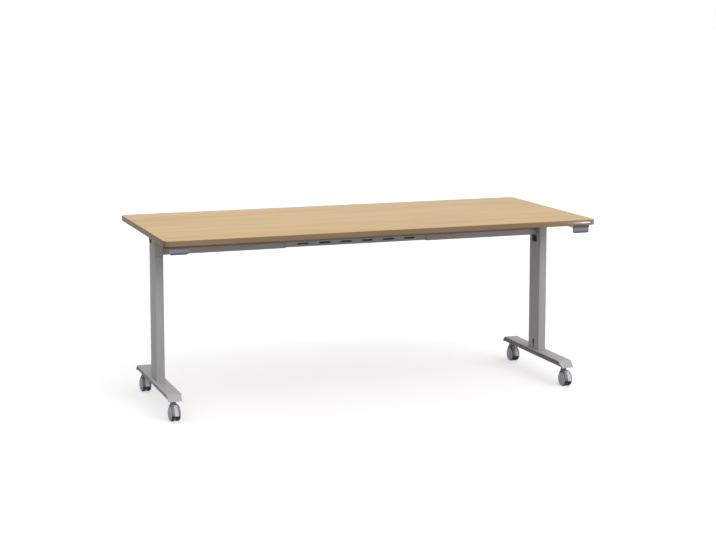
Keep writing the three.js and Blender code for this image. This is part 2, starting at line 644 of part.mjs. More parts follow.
function alongFoot(side, points) {
  const outline = polygon(mirrored(points).map(([u, z]) => [legX(side, u), z]));
  return prism('y', outline, BASE_OFFSET - FOOT_LENGTH, BASE_OFFSET + FOOT_LENGTH);
}

function footPlate(side) {
  const bent = acrossFoot(side, [
    [foldAt(FOOT_PLATE), FOOT_UNDER], [tipAt(FOOT_PLATE), FOOT_BOTTOM], [FOOT_HALF, FOOT_BOTTOM],
    [FOOT_FOLD, FOOT_TOP],
  ]);
  const plan = mirrored([
    [FOOT_NOSE_WIDTH / 2, -FOOT_HALF], [FOOT_WIDTH / 2, -FOOT_FOLD], [FOOT_WIDTH / 2, FOOT_FOLD],
    [FOOT_NOSE_WIDTH / 2, FOOT_HALF],
  ]);
  const outline = polygon(plan.map(([u, v]) => [legX(side, u), BASE_OFFSET + v]));
  const trimmed = bent.intersect(prism('z', outline, FOOT_BOTTOM - FOOT_HEIGHT, FOOT_TOP + FOOT_HEIGHT));
  const arrises = alongFoot(side, [
    [FOOT_WIDTH / 2 + FOOT_ARRIS, FOOT_BOTTOM - FOOT_HEIGHT],
    [FOOT_WIDTH / 2 + FOOT_ARRIS, FOOT_TOP - 2 * FOOT_ARRIS],
    [FOOT_WIDTH / 2 - FOOT_ARRIS, FOOT_TOP],
  ]);
  return trimmed.intersect(arrises);
}

function footTrough(side) {
  const roof = FOOT_TOP - FOOT_PLATE / 2;
  const outer = alongFoot(side, [
    [SKIRT_FOOT_WIDTH / 2, FOOT_BOTTOM], [SKIRT_TOP_WIDTH / 2, FOOT_UNDER], [SKIRT_TOP_WIDTH / 2, roof],
  ]);
  const hollow = alongFoot(side, [
    [SKIRT_FOOT_WIDTH / 2 - SKIRT_WALL, FOOT_BOTTOM - SKIRT_WALL],
    [SKIRT_FOOT_WIDTH / 2 - SKIRT_WALL, FOOT_BOTTOM],
    [SKIRT_TOP_WIDTH / 2 - SKIRT_WALL, FOOT_UNDER],
  ]);
  const length = acrossFoot(side, [
    [tipAt(FOOT_PLATE / 2), FOOT_BOTTOM], [foldAt(FOOT_PLATE / 2), roof],
  ]);
  return outer.subtract(hollow).intersect(length);
}

function foot(side) {
  const x = legX(side, 0);
  const below = FOOT_BOTTOM - FOOT_HEIGHT;
  let body = footPlate(side).add(footTrough(side));
  for (const end of [-1, 1]) {
    const caster = [x, BASE_OFFSET + end * CASTER_REACH];
    const bolt = [x, BASE_OFFSET + end * COLUMN_BOLT_SPREAD / 2];
    const socket = bar('z', STEM_RADIUS + BORE_PLAY + BOSS_WALL, FOOT_BOTTOM, FOOT_UNDER, caster);
    const boss = bar('z', COLUMN_BOLT_BOSS, FOOT_BOTTOM + COLUMN_BOLT_RECESS, FOOT_UNDER, bolt);
    const stemBore = bar('z', STEM_RADIUS + BORE_PLAY,
      below, STEM_FLANGE_TOP + STEM_UPPER + 2 * SEAT, caster);
    const boltBore = bar('z', COLUMN_BOLT_RADIUS, below, FOOT_TOP + FOOT_HEIGHT, bolt);
    body = body.add(socket).add(boss).subtract(stemBore).subtract(boltBore);
  }
  return body;
}

// Cross beam: two square tubes from the leg heads, with an inner tube, slotted in front, sliding in both.
function squareTube(from, to, size, wall) {
  const middle = (BEAM_TOP + BEAM_BOTTOM) / 2;
  const outline = roundedRectangle(BASE_OFFSET, middle, size, size, wall);
  const inner = size - 2 * wall;
  const hollow = block([from - size, to + size],
    [BASE_OFFSET - inner / 2, BASE_OFFSET + inner / 2], [middle - inner / 2, middle + inner / 2]);
  return prism('x', outline, from, to).subtract(hollow);
}

function beamRail(side) {
  const ends = [side * BEAM_JOINT, legX(side, LEG_WIDTH / 2 + SEAT)].sort((a, b) => a - b);
  return squareTube(...ends, BEAM_SIZE, BEAM_WALL);
}

function beamCentre() {
  const reach = BEAM_JOINT + BEAM_OVERLAP;
  const size = BEAM_SIZE - 2 * BEAM_WALL - 2 * SEAT;
  let tube = squareTube(-reach, reach, size, BEAM_WALL);
  const slotMiddle = BEAM_BOTTOM + BEAM_SLOT_RISE + BEAM_SLOT_HEIGHT / 2;
  for (let i = 0; i < BEAM_SLOTS; i += 1) {
    const x = (i - (BEAM_SLOTS - 1) / 2) * BEAM_SLOT_PITCH;
    const slot = roundedRectangle(
      x, slotMiddle, BEAM_SLOT_LENGTH, BEAM_SLOT_HEIGHT, BEAM_SLOT_HEIGHT / 2 - SEAT);
    tube = tube.subtract(prism('y', slot, BASE_OFFSET - size, BASE_OFFSET, SLOT_STEPS));
  }
  return tube;
}

// Casters. The swivel axis stands at (x, y); the axle trails in front of it.
function casterStem(x, y) {
  const stem = bar('z', STEM_RADIUS, NECK_TOP - STEM_LOWER, STEM_FLANGE_TOP + STEM_UPPER, [x, y]);
  return stem.add(bar('z', STEM_FLANGE_RADIUS, STEM_FLANGE_TOP - STEM_FLANGE, STEM_FLANGE_TOP, [x, y]));
}

// A point round the axle in (y, z): angle 0 points to the front, a quarter turn points up.
function aroundAxle(axleY, radius, angle) {
  return [axleY - radius * Math.cos(angle), WHEEL_RADIUS + radius * Math.sin(angle)];
}

function axleSector(axleY, inner, outer, start, end) {
  return ringSector(axleY, WHEEL_RADIUS, inner, outer, Math.PI - end, Math.PI - start);
}

// Turns a profile of (radius, distance from base) about the axle; end is the way the distance counts.
function turned(profile, base, axleY, end) {
  const points = profile.map(([radius, out]) => new THREE.Vector2(radius, out));
  const geometry = new THREE.LatheGeometry(points, WHEEL_SIDES);
  geometry.rotateY(Math.PI / WHEEL_SIDES);
  geometry.rotateZ(-end * Math.PI / 2);
  geometry.translate(base, axleY, WHEEL_RADIUS);
  return solid(geometry);
}

// Swivel neck: an oval flare that grows out of the hood up to the stem.
function casterNeck(x, y) {
  const profile = [
    [0, NECK_TOP - NECK_DROP], [NECK_FLARE, NECK_TOP - NECK_DROP], [NECK_WAIST, NECK_TOP - NECK_WAIST_DROP],
    [NECK_RADIUS, NECK_TOP - NECK_COLLAR], [NECK_RADIUS, NECK_TOP], [0, NECK_TOP],
  ];
  const points = profile.map(([radius, z]) => new THREE.Vector2(radius, z));
  const flare = new THREE.LatheGeometry(points, PIN_SIDES);
  flare.rotateX(Math.PI / 2);
  flare.scale(1, NECK_OVAL, 1);
  flare.translate(x, y, 0);
  const width = [x - HOOD_WIDTH / 2, x + HOOD_WIDTH / 2];
  const wheelSpace = bar('x', HOOD_INNER, x - HOOD_WIDTH, x + HOOD_WIDTH,
    [y - CASTER_TRAIL, WHEEL_RADIUS], WHEEL_SIDES);
  return solid(flare)
    .intersect(block(width, [y - HOOD_WIDTH, y + HOOD_WIDTH], [0, TOP_HEIGHT]))
    .subtract(wheelSpace);
}

// Hood: a crowned fender over both wheels, a web between them, the neck and two lugs for the pedal.
function casterHood(x, y) {
  const axleY = y - CASTER_TRAIL;
  const half = HOOD_WIDTH / 2;
  const shoulder = HOOD_INNER + HOOD_SHELL / 2;
  const ring = turned([
    [HOOD_INNER, -half], [shoulder, -half], [HOOD_OUTER, -HOOD_CROWN / 2], [HOOD_OUTER, HOOD_CROWN / 2],
    [shoulder, half], [HOOD_INNER, half], [HOOD_INNER, -half],
  ], x, axleY, 1);
  const sweep = prism('x',
    axleSector(axleY, AXLE_RADIUS, 2 * HOOD_OUTER, HOOD_FRONT_ANGLE, HOOD_BACK_ANGLE),
    x - HOOD_WIDTH, x + HOOD_WIDTH, FENDER_STEPS);
  const webSpan = [x - HOOD_WEB / 2, x + HOOD_WEB / 2];
  const web = bar('x', HOOD_WEB_RADIUS, ...webSpan, [axleY, WHEEL_RADIUS]);
  const spine = prism('x',
    axleSector(axleY, AXLE_RADIUS, shoulder, HOOD_FRONT_ANGLE, HOOD_BACK_ANGLE), ...webSpan, FENDER_STEPS);
  let hood = ring.intersect(sweep).add(casterNeck(x, y)).add(web).add(spine);
  const hinge = aroundAxle(axleY, HOOD_OUTER + PEDAL_GAP + PEDAL_PLATE / 2, PEDAL_HINGE_ANGLE);
  const lugRadius = PEDAL_PLATE / 2 + SEAT + PEDAL_TRUNNION_RADIUS;
  for (const end of [-1, 1]) {
    const inside = x + end * (PEDAL_WIDTH / 2 + RUNNING);
    hood = hood.add(bar('x', lugRadius, inside, inside + end * PEDAL_LUG, hinge, SMALL_PIN_SIDES));
  }
  const across = [x - HOOD_WIDTH, x + HOOD_WIDTH];
  const hingeBore = bar('x', PEDAL_TRUNNION_RADIUS + BORE_PLAY, ...across, hinge, SMALL_PIN_SIDES);
  const stemBore = bar('z', STEM_RADIUS + BORE_PLAY,
    NECK_TOP - STEM_LOWER - SEAT, NECK_TOP + STEM_LOWER, [x, y]);
  const axleBore = bar('x', AXLE_RADIUS + BORE_PLAY, ...across, [axleY, WHEEL_RADIUS]);
  return hood.subtract(hingeBore).subtract(stemBore).subtract(axleBore);
}

// Brake pedal: a curved strip over the fender, on two trunnions, with a toe at its free end.
function brakePedal(x, y) {
  const axleY = y - CASTER_TRAIL;
  const inner = HOOD_OUTER + PEDAL_GAP;
  const outer = inner + PEDAL_PLATE;
  const width = [x - PEDAL_WIDTH / 2, x + PEDAL_WIDTH / 2];
  const strip = prism('x', axleSector(axleY, inner, outer, PEDAL_START_ANGLE, PEDAL_HINGE_ANGLE), ...width);
  const [toeY, toeZ] = aroundAxle(axleY, inner + PEDAL_TOE_SINK, PEDAL_START_ANGLE);
  const toe = prism('x', polygon([
    [toeY, toeZ], [toeY - PEDAL_TOE, toeZ + PEDAL_PLATE], [toeY - PEDAL_TOE, toeZ + 2 * PEDAL_PLATE],
    [toeY, toeZ + 3 * PEDAL_PLATE],
  ]), ...width);
  const hinge = aroundAxle(axleY, (inner + outer) / 2, PEDAL_HINGE_ANGLE);
  const reach = PEDAL_WIDTH / 2 + RUNNING + PEDAL_LUG;
  const trunnion = bar('x', PEDAL_TRUNNION_RADIUS, x - reach, x + reach, hinge, SMALL_PIN_SIDES);
  const barrel = bar('x', PEDAL_PLATE / 2, ...width, hinge, SMALL_PIN_SIDES);
  return strip.add(toe).add(barrel).add(trunnion);
}

function casterAxle(x, y) {
  const reach = WHEEL_GAP / 2 + AXLE_DEPTH;
  return bar('x', AXLE_RADIUS, x - reach, x + reach, [y - CASTER_TRAIL, WHEEL_RADIUS]);
}

// Wheel: a domed disc with a blind axle bore inside and a seat for the tread.
function wheel(x, y, end) {
  const bore = AXLE_RADIUS + BORE_PLAY;
  const profile = [
    [0, AXLE_DEPTH + SEAT], [bore, AXLE_DEPTH + SEAT], [bore, 0], [TREAD_SEAT_RADIUS, 0],
    [TREAD_SEAT_RADIUS, RIM_START], [WHEEL_FLANGE_RADIUS, RIM_START],
  ];
  for (let i = 0; i < DOME_STEPS; i += 1) {
    const angle = i / DOME_STEPS * Math.PI / 2;
    const out = RIM_START + WHEEL_LIP + WHEEL_DOME * Math.sin(angle);
    profile.push([WHEEL_FLANGE_RADIUS * Math.cos(angle), out]);
  }
  profile.push([0, RIM_START + WHEEL_LIP + WHEEL_DOME]);
  return turned(profile, x + end * WHEEL_GAP / 2, y - CASTER_TRAIL, end);
}

function tread(x, y, end) {
  const seat = TREAD_SEAT_RADIUS + SEAT;
  const crown = TYRE_CORNER_RADIUS;
  const last = TREAD_INSET + TREAD_WIDTH;
  const profile = [
    [seat, TREAD_INSET], [crown - TREAD_ROUND, TREAD_INSET], [crown, TREAD_INSET + TREAD_ROUND],
    [crown, last - TREAD_ROUND], [crown - TREAD_ROUND, last], [seat, last], [seat, TREAD_INSET],
  ];
  return turned(profile, x + end * WHEEL_GAP / 2, y - CASTER_TRAIL, end);
}

// Assembly
const SIDES = { left: -1, right: 1 };
const ENDS = { front: -1, rear: 1 };
const WHEEL_ENDS = { left: -1, right: 1 };

addPiece(table, 'table_top', tableTop(), OAK);
addPiece(table, 'edge_band', edgeBand(), EDGE);
addPiece(table, 'beam_centre', beamCentre(), SILVER);

for (const [name, side] of Object.entries(SIDES)) {
  const leg = new THREE.Group();
  table.add(leg);
  addPiece(leg, `${name}_leg_column`, legColumn(side), SILVER);
  addPiece(leg, `${name}_cable_cover`, cableCover(side), SILVER);
  addPiece(leg, `${name}_leg_head`, legHead(side), CAST);
  addPiece(leg, `${name}_pivot_pin`, pivotPin(side), STEEL);
  addPiece(leg, `${name}_stop_pad`, stopPad(side), RUBBER);
  addPiece(leg, `${name}_foot`, foot(side), SILVER);
  addPiece(leg, `${name}_beam_rail`, beamRail(side), SILVER);
  addPiece(leg, `${name}_hinge_bracket`, hingeBracket(side), CAST);
  addPiece(leg, `${name}_lever_housing`, leverHousing(side), CAST);
  addPiece(leg, `${name}_lever_pin`, leverPin(side), STEEL);
  addPiece(leg, `${name}_release_lever`, releaseLever(side), GREY_PLASTIC);
  addPiece(leg, `${name}_release_rod`, releaseRod(side), STEEL);
  for (const [endName, end] of Object.entries(ENDS)) {
    const caster = new THREE.Group();
    leg.add(caster);
    const prefix = `${name}_${endName}_caster`;
    const x = legX(side, 0);
    const y = BASE_OFFSET + end * CASTER_REACH;
    addPiece(caster, `${prefix}_stem`, casterStem(x, y), STEEL);
    addPiece(caster, `${prefix}_hood`, casterHood(x, y), DARK_PLASTIC);
    addPiece(caster, `${prefix}_axle`, casterAxle(x, y), STEEL);
    addPiece(caster, `${prefix}_pedal`, brakePedal(x, y), PEDAL_PLASTIC);
    for (const [wheelName, wheelEnd] of Object.entries(WHEEL_ENDS)) {
      addPiece(caster, `${prefix}_${wheelName}_wheel`, wheel(x, y, wheelEnd), GREY_PLASTIC);
      addPiece(caster, `${prefix}_${wheelName}_tread`, tread(x, y, wheelEnd), RUBBER);
    }
  }
}

export default table;
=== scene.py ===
import json
import math

import bmesh
import bpy
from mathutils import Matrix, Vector


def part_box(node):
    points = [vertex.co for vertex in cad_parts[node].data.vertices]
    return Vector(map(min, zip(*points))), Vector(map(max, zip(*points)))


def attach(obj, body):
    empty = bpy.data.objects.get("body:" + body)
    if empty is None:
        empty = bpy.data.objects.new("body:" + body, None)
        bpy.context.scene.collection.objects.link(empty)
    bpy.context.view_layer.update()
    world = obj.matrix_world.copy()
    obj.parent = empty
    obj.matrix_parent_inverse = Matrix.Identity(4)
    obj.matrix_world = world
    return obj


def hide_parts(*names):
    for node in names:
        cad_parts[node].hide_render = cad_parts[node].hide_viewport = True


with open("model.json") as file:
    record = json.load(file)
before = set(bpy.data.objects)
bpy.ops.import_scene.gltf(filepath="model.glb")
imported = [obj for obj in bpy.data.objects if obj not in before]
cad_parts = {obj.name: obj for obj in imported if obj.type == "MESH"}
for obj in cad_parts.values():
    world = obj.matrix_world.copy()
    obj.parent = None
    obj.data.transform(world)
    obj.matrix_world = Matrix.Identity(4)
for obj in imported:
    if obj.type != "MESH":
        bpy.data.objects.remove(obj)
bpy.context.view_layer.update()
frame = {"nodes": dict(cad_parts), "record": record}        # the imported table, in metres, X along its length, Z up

NODES = frame["nodes"]
SIDES = {"left": -1, "right": 1}
ENDS = ("front", "rear")
MM = 0.001

# Camera, fitted to the photograph
IMAGE_WIDTH = 716
IMAGE_HEIGHT = 540
FOCAL_PIXELS = 1617.0
PRINCIPAL_ROW = 195
CAMERA_PLACE = Vector((-2.2509, -6.2186, 1.6193))
CAMERA_YAW = 0.3485
CAMERA_PITCH = 0.1215
SENSOR_WIDTH = 36

# Studio
FLOOR_REACH = 60
LIGHT_FROM = Vector((0.1, -0.8, 0.6))
SKY_LIGHT = 0.6
SKY_SLOPE = Vector((0.1, -0.1, 0.12))
SUN_STRENGTH = 1.2
SUN_ANGLE = math.radians(60)
GLINT_AT = Vector((0.93, -0.4, 0.7135))
GLINT_WAY = Vector((0.461, -0.877, -0.137))
GLINT_DISTANCE = 1.5
GLINT_SIZE = (0.05, 0.045)
GLINT_POWER = 1.15
FLOOR_GLOW = 0.43
FLOOR_SHADE = 0.78
FLOOR_BOUNCE = 0.28

# Surfaces
SMOOTH_ANGLE = math.radians(32)
FLAT_ANGLE = math.radians(0.5)
WELD_DISTANCE = 2e-6
EDGE_SOFTENING = 0.7 * MM
BEVEL_SEGMENTS = 2
END_FACING = 0.72
SIDE_FACING = 0.5
LATHE_SIDES = 64
ARC_SIDES = 28


def aim(thing, target):
    direction = Vector(target) - thing.location
    thing.rotation_euler = direction.to_track_quat("-Z", "Y").to_euler()


def make_camera():
    data = bpy.data.cameras.new("camera")
    data.sensor_width = SENSOR_WIDTH
    data.lens = FOCAL_PIXELS * SENSOR_WIDTH / IMAGE_WIDTH
    data.shift_y = (PRINCIPAL_ROW - IMAGE_HEIGHT / 2) / IMAGE_WIDTH
    camera = bpy.data.objects.new("camera", data)
    bpy.context.scene.collection.objects.link(camera)
    camera.location = CAMERA_PLACE
    level = math.cos(CAMERA_PITCH)
    ahead = Vector((math.sin(CAMERA_YAW) * level, math.cos(CAMERA_YAW) * level, -math.sin(CAMERA_PITCH)))
    aim(camera, CAMERA_PLACE + ahead)
    bpy.context.scene.camera = camera


def make_sun():
    data = bpy.data.lights.new("sun", "SUN")
    data.energy = SUN_STRENGTH
    data.angle = SUN_ANGLE
    sun = bpy.data.objects.new("sun", data)
    bpy.context.scene.collection.objects.link(sun)
    sun.location = LIGHT_FROM * FLOOR_REACH
    aim(sun, (0, 0, 0))


def make_glint():
    """A small softbox that the glossy edge mirrors at its right end; it adds no light to matt surfaces."""
    data = bpy.data.lights.new("glint", "AREA")
    data.shape = "RECTANGLE"
    data.size, data.size_y = GLINT_SIZE
    data.energy = GLINT_POWER
    data.diffuse_factor = 0
    lamp = bpy.data.objects.new("glint", data)
    bpy.context.scene.collection.objects.link(lamp)
    lamp.location = GLINT_AT + GLINT_WAY * GLINT_DISTANCE
    aim(lamp, GLINT_AT)


def seen_rays(nodes, links):
    """A value of 1 for rays that show the background: straight, mirrored or through glass."""
    path = nodes.new("ShaderNodeLightPath")
    first = nodes.new("ShaderNodeMath")
    first.operation = "MAXIMUM"
    second = nodes.new("ShaderNodeMath")
    second.operation = "MAXIMUM"
    links.new(path.outputs["Is Camera Ray"], first.inputs[0])
    links.new(path.outputs["Is Glossy Ray"], first.inputs[1])
    links.new(first.outputs[0], second.inputs[0])
    links.new(path.outputs["Is Transmission Ray"], second.inputs[1])
    return second.outputs[0]


def make_world():
    """A white background, and a sky that is brighter on the side the light comes from."""
    world = bpy.data.worlds.new("studio")
    bpy.context.scene.world = world
    world.use_nodes = True
    nodes, links = world.node_tree.nodes, world.node_tree.links
    way = nodes.new("ShaderNodeTexCoord").outputs["Generated"]
    slope = nodes.new("ShaderNodeVectorMath")
    slope.operation = "DOT_PRODUCT"
    slope.inputs[1].default_value = SKY_SLOPE
    level = nodes.new("ShaderNodeMath")
    level.inputs[1].default_value = SKY_LIGHT
    light = nodes["Background"]
    light.inputs["Color"].default_value = (1, 1, 1, 1)
    white = nodes.new("ShaderNodeBackground")
    white.inputs["Color"].default_value = (1, 1, 1, 1)
    mix = nodes.new("ShaderNodeMixShader")
    links.new(way, slope.inputs[0])
    links.new(slope.outputs["Value"], level.inputs[0])
    links.new(level.outputs[0], light.inputs["Strength"])
    links.new(seen_rays(nodes, links), mix.inputs[0])
    links.new(light.outputs[0], mix.inputs[1])
    links.new(white.outputs[0], mix.inputs[2])
    links.new(mix.outputs[0], nodes["World Output"].inputs["Surface"])


def make_floor():
    corners = [(-FLOOR_REACH, -FLOOR_REACH, 0), (FLOOR_REACH, -FLOOR_REACH, 0),
               (FLOOR_REACH, FLOOR_REACH, 0), (-FLOOR_REACH, FLOOR_REACH, 0)]
    mesh = bpy.data.meshes.new("floor")
    mesh.from_pydata(corners, [], [(0, 1, 2, 3)])
    floor = bpy.data.objects.new("floor", mesh)
    bpy.context.scene.collection.objects.link(floor)
    material = bpy.data.materials.new("floor")
    material.use_nodes = True
    nodes, links = material.node_tree.nodes, material.node_tree.links
    nodes.remove(nodes["Principled BSDF"])
    bounce = nodes.new("ShaderNodeBsdfDiffuse")
    bounce.inputs["Color"].default_value = (FLOOR_BOUNCE,) * 3 + (1,)
    shade = nodes.new("ShaderNodeBsdfDiffuse")
    shade.inputs["Color"].default_value = (FLOOR_SHADE,) * 3 + (1,)
    glow = nodes.new("ShaderNodeEmission")
    glow.inputs["Strength"].default_value = FLOOR_GLOW
    both = nodes.new("ShaderNodeAddShader")
    mix = nodes.new("ShaderNodeMixShader")
    links.new(shade.outputs[0], both.inputs[0])
    links.new(glow.outputs[0], both.inputs[1])
    links.new(seen_rays(nodes, links), mix.inputs[0])
    links.new(bounce.outputs[0], mix.inputs[1])
    links.new(both.outputs[0], mix.inputs[2])
    links.new(mix.outputs[0], nodes["Material Output"].inputs["Surface"])
    mesh.materials.append(material)


class Finish:
    """A material being put together: noises on the object's own coordinates that end in one shader."""

    def __init__(self, name, **settings):
        self.material = bpy.data.materials.new(name)
        self.material.use_nodes = True
        self.nodes = self.material.node_tree.nodes
        self.links = self.material.node_tree.links
        self.shader = self.nodes["Principled BSDF"]
        for socket, value in settings.items():
            self.shader.inputs[socket.replace("_", " ")].default_value = value
        self.place = self.nodes.new("ShaderNodeTexCoord").outputs["Object"]

    def feed(self, socket, value):
        """Links a node's output to a socket, or sets a plain value on it."""
        if isinstance(value, bpy.types.NodeSocket):
            self.links.new(value, socket)
        else:
            socket.default_value = value

    def coordinate(self, kind, axis):
        """One axis of the object's own coordinates or of its surface normal."""
        parts = self.nodes.new("ShaderNodeSeparateXYZ")
        self.links.new(self.nodes.new("ShaderNodeTexCoord").outputs[kind], parts.inputs[0])
        return parts.outputs[axis]

    def turn_grain_on_ends(self):
        """Swaps x and y where the surface faces along x."""
        facing = self.math("GREATER_THAN", self.math("ABSOLUTE", self.coordinate("Normal", "X"), 0), END_FACING)
        place = self.nodes.new("ShaderNodeSeparateXYZ")
        self.links.new(self.place, place.inputs[0])
        turned_place = self.nodes.new("ShaderNodeCombineXYZ")
        for source, target in zip("YXZ", "XYZ"):
            self.links.new(place.outputs[source], turned_place.inputs[target])
        mix = self.nodes.new("ShaderNodeMix")
        mix.data_type = "VECTOR"
        self.links.new(facing, mix.inputs["Factor"])
        self.links.new(self.place, mix.inputs["A"])
        self.links.new(turned_place.outputs[0], mix.inputs["B"])
        self.place = mix.outputs["Result"]

    def noise(self, stretch, detail=2.0, roughness=0.5, distortion=0.0):
        mapping = self.nodes.new("ShaderNodeMapping")
        mapping.inputs["Scale"].default_value = stretch
        self.links.new(self.place, mapping.inputs["Vector"])
        texture = self.nodes.new("ShaderNodeTexNoise")
        texture.inputs["Scale"].default_value = 1.0
        texture.inputs["Detail"].default_value = detail
        texture.inputs["Roughness"].default_value = roughness
        texture.inputs["Distortion"].default_value = distortion
        self.links.new(mapping.outputs[0], texture.inputs["Vector"])
        return texture.outputs["Fac"]

    def math(self, operation, first, second):
        node = self.nodes.new("ShaderNodeMath")
        node.operation = operation
        for socket, value in zip(node.inputs, (first, second)):
            self.feed(socket, value)
        return node.outputs[0]

    def blend(self, parts):
        """The weighted sum of several noises."""
        total = None
        for value, weight in parts:
            share = self.math("MULTIPLY", value, weight)
            total = share if total is None else self.math("ADD", total, share)
        return total

    def ramp(self, value, stops):
        node = self.nodes.new("ShaderNodeValToRGB")
        while len(node.color_ramp.elements) < len(stops):
            node.color_ramp.elements.new(0.5)
        for element, (at, colour) in zip(node.color_ramp.elements, stops):
            element.position = at
            element.color = (*colour, 1)
        self.links.new(value, node.inputs["Fac"])
        return node.outputs["Color"]

    def span(self, value, low, high, start=0, end=1):
        """Runs from low to high while the value runs from start to end."""
        node = self.nodes.new("ShaderNodeMapRange")
        node.inputs["From Min"].default_value = start
        node.inputs["From Max"].default_value = end
        node.inputs["To Min"].default_value = low
        node.inputs["To Max"].default_value = high
        self.links.new(value, node.inputs["Value"])
        return node.outputs["Result"]

    def multiply(self, tone, other, factor):
        """A colour multiplied by another one, as far as the factor says."""
        mix = self.nodes.new("ShaderNodeMix")
        mix.data_type = "RGBA"
        mix.blend_type = "MULTIPLY"
        for socket, value in zip(("Factor", "A", "B"), (factor, tone, other)):
            self.feed(mix.inputs[socket], value)
        return mix.outputs["Result"]

    def paint_shade_by_height(self, tone, stops, upright_only=False):
        """Paints shade, multiplying a colour by greys given as (height, grey), on every face or on the upright ones
        alone.
        """
        bottom, top = stops[0][0], stops[-1][0]
        share = self.math("DIVIDE", self.math("SUBTRACT", self.coordinate("Object", "Z"), bottom), top - bottom)
        grey = self.ramp(share, [((z - bottom) / (top - bottom), (level,) * 3) for z, level in stops])
        factor = self.math("LESS_THAN", self.coordinate("Normal", "Z"), SIDE_FACING) if upright_only else 1
        return self.multiply(tone, grey, factor)

    def paint_shade_on_hole_walls(self, tone, level):
        """Paints shade in the holes of a cable cover, multiplying a colour on the faces that don't look along x: the
        walls of the holes.
        """
        walls = self.math("LESS_THAN", self.math("ABSOLUTE", self.coordinate("Normal", "X"), 0), SIDE_FACING)
        return self.multiply(tone, (level, level, level, 1), walls)

    def colour(self, socket):
        self.links.new(socket, self.shader.inputs["Base Color"])

    def roughness(self, socket):
        self.links.new(socket, self.shader.inputs["Roughness"])

    def shine_along_x(self, low, high, start, end):
        """Lets the shine grow along x, from one level at the start to another at the end."""
        shine = self.span(self.coordinate("Object", "X"), low, high, start, end)
        self.links.new(shine, self.shader.inputs["Specular IOR Level"])

    def bump(self, height, strength, distance):
        node = self.nodes.new("ShaderNodeBump")
        node.inputs["Strength"].default_value = strength
        node.inputs["Distance"].default_value = distance
        self.links.new(height, node.inputs["Height"])
        self.links.new(node.outputs[0], self.shader.inputs["Normal"])


def shades(colour, spread):
    """A colour with a darker and a lighter neighbour, for a ramp."""
    darker, lighter = ([c * factor for c in colour] for factor in (1 - spread, 1 + spread))
    return [(0.25, darker), (0.5, colour), (0.75, lighter)]


OAK_SHINE = 0.3
OAK_BANDS = (0.9, 8, 8)
OAK_STREAKS = (2.4, 62, 62)
OAK_FIBRES = (16, 620, 620)
OAK_PORES = (42, 950, 950)
PORE_STOPS = [(0.6, (1, 1, 1)), (0.72, (0.8, 0.76, 0.7))]
PORE_DEPTH = 0.6


def oak(name, dark, middle, light, roughness, shine=None):
    """Oak grain along the length, or along the edge on the two ends: bands, streaks, fibres and pores."""
    finish = Finish(name, Roughness=roughness, Specular_IOR_Level=OAK_SHINE)
    finish.turn_grain_on_ends()
    bands = finish.noise(OAK_BANDS, 3, 0.5, 0.6)
    streaks = finish.noise(OAK_STREAKS, 4, 0.55, 0.3)
    fibres = finish.noise(OAK_FIBRES, 3, 0.6)
    pores = finish.noise(OAK_PORES, 1, 0.4)
    grain = finish.blend([(bands, 0.42), (streaks, 0.4), (fibres, 0.18)])
    tone = finish.ramp(grain, [(0.33, dark), (0.5, middle), (0.67, light)])
    finish.colour(finish.multiply(tone, finish.ramp(pores, PORE_STOPS), PORE_DEPTH))
    finish.roughness(finish.span(streaks, roughness - 0.07, roughness + 0.08))
    if shine:
        finish.shine_along_x(*shine)
    finish.bump(finish.blend([(fibres, 0.6), (pores, -0.4)]), 0.12, 0.0002)
    return finish.material


PAINT_SHINE = 0.06


def powder_coat(name, colour, metallic, roughness, painted_side_shade=None, painted_hole_shade=None):
    """Painted metal with a fine orange-peel texture, with painted shade on its sides or in its holes where asked."""
    finish = Finish(name, Metallic=metallic, Roughness=roughness, Specular_IOR_Level=PAINT_SHINE)
    clouds = finish.noise((5, 5, 5), 3)
    grit = finish.noise((1700, 1700, 1700), 2)
    peel = finish.noise((520, 520, 520), 2)
    tone = finish.ramp(finish.blend([(clouds, 0.55), (grit, 0.45)]), shades(colour, 0.07))
    if painted_side_shade:
        tone = finish.paint_shade_by_height(tone, painted_side_shade, True)
    if painted_hole_shade:
        tone = finish.paint_shade_on_hole_walls(tone, painted_hole_shade)
    finish.colour(tone)
    finish.roughness(finish.span(grit, roughness - 0.06, roughness + 0.08))
    finish.bump(finish.blend([(peel, 0.7), (grit, 0.3)]), 0.16, 0.00015)
    return finish.material


def moulded(name, colour, roughness, grain=0.14, shade=None):
    """Moulded plastic or rubber with a fine eroded texture, with painted shade by height where a shade is given."""
    finish = Finish(name, Roughness=roughness)
    clouds = finish.noise((16, 16, 16), 2)
    grit = finish.noise((1300, 1300, 1300), 3)
    tone = finish.ramp(finish.blend([(clouds, 0.6), (grit, 0.4)]), shades(colour, 0.08))
    finish.colour(finish.paint_shade_by_height(tone, shade) if shade else tone)
    finish.roughness(finish.span(clouds, roughness - 0.07, roughness + 0.07))
    finish.bump(grit, grain, 0.0002)
    return finish.material


def plated(name, colour, roughness):
    """Bright plated steel with faint drawing lines."""
    finish = Finish(name, Metallic=1.0, Roughness=roughness)
    lines = finish.noise((900, 900, 60), 2)
    clouds = finish.noise((30, 30, 30), 2)
    finish.colour(finish.ramp(clouds, shades(colour, 0.08)))
    finish.roughness(finish.span(lines, roughness - 0.08, roughness + 0.1))
    finish.bump(lines, 0.08, 0.0001)
    return finish.material
